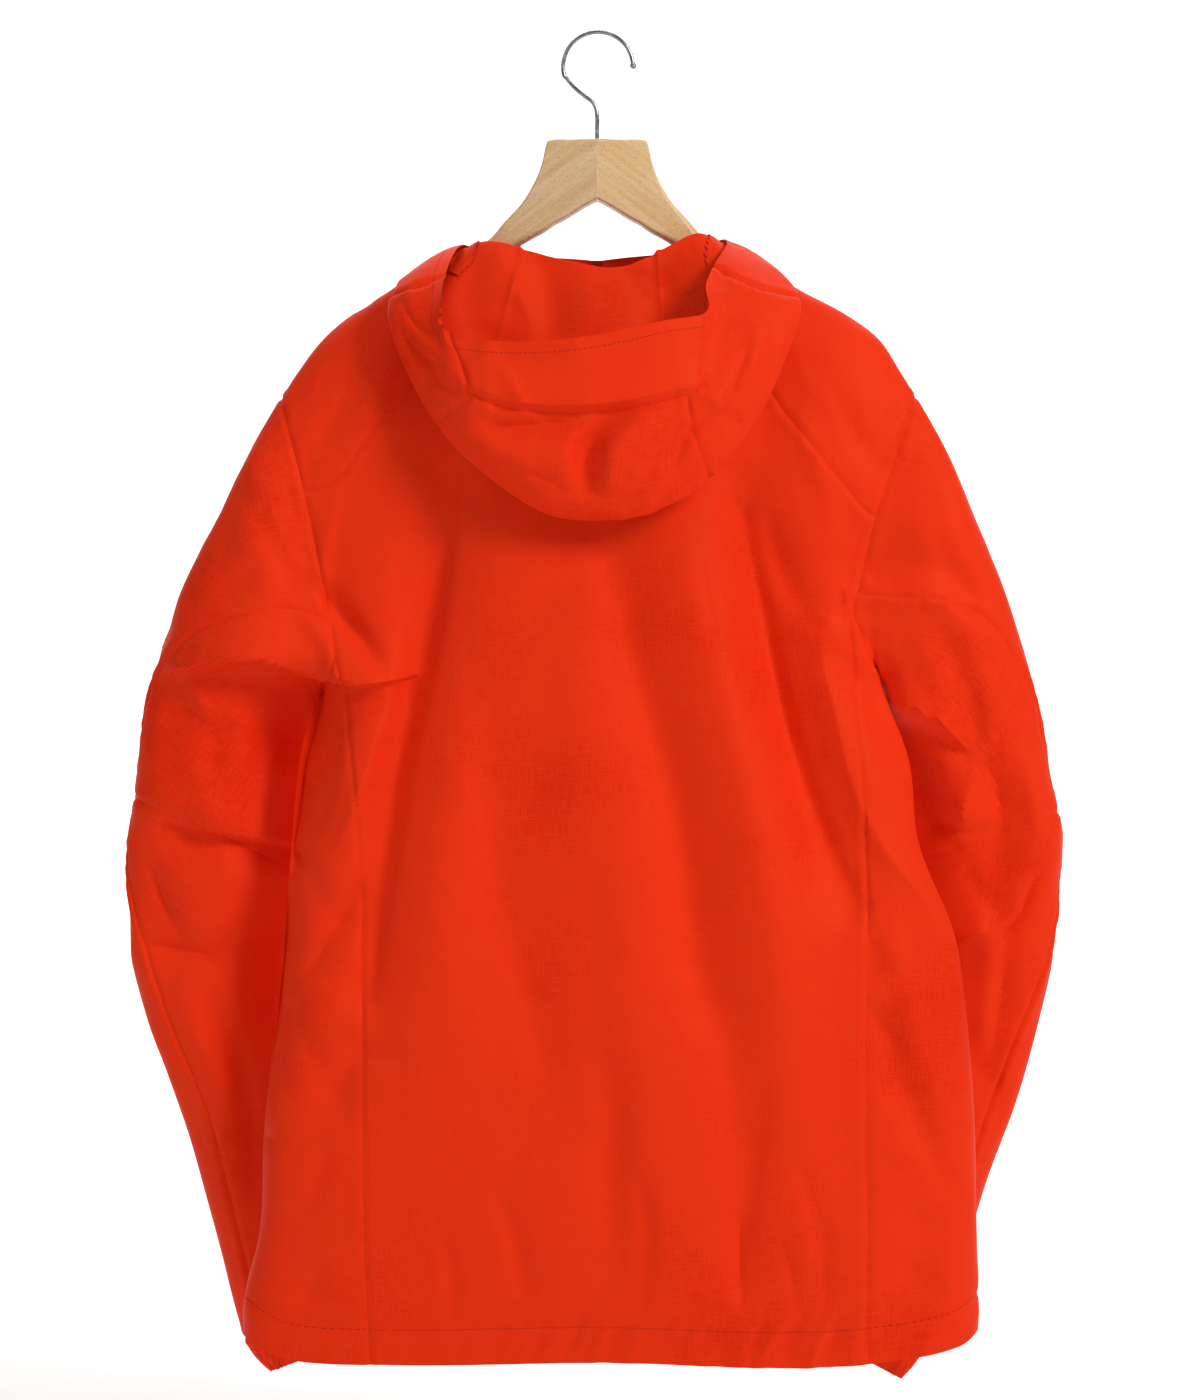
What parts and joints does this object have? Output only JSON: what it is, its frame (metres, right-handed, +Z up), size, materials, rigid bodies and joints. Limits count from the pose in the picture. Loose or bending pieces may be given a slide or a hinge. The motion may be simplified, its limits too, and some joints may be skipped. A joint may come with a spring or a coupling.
{
  "type": "hooded windbreaker on a wooden hanger",
  "caption": "Light hooded jacket hung by its shoulders on a wooden hanger with a wire hook, its sleeves behind the body and its hood folded back",
  "frame": {"origin": "inner crest of the hanger's hook, where a rail carries it", "axes": "+Z up, +X to the wearer's right, -Y the way the jacket's back faces"},
  "size_m": [0.6704, 0.1794, 0.9666],
  "materials": {
    "shell": "thin woven nylon with a fine ripstop grid, semi-matte",
    "zip": "woven zip tape with moulded coil teeth",
    "zip_metal": "plated die-cast zinc",
    "wood": "pale beech with a thin satin lacquer",
    "hook": "bright chromed steel wire"
  },
  "bodies": {
    "jacket": {"back": "shell", "side_left": "shell", "side_right": "shell", "front_left": "shell", "front_right": "shell", "yoke_left": "shell", "yoke_right": "shell", "sleeve_top_left": "shell", "sleeve_top_right": "shell", "sleeve_back_upper_left": "shell", "sleeve_back_upper_right": "shell", "sleeve_back_lower_left": "shell", "sleeve_back_lower_right": "shell", "cuff_left": "shell", "cuff_right": "shell", "hood_crown": "shell", "hood_side_left": "shell", "hood_side_right": "shell", "hood_visor": "shell", "collar_left": "shell", "collar_right": "shell", "zip_tape": "zip", "zip_slider": "zip_metal", "hanger_left": "wood", "hanger_right": "wood", "hanger_hook": "hook"},
    "pull": {"zip_pull": "zip_metal"}
  },
  "joints": [
    {"name": "pull_hinge", "type": "hinge", "parent": "jacket", "child": "pull", "pos_m": [0, 0.0409, -0.162], "axis": [1, 0, 0], "range_deg": [0, 150]}
  ]
}
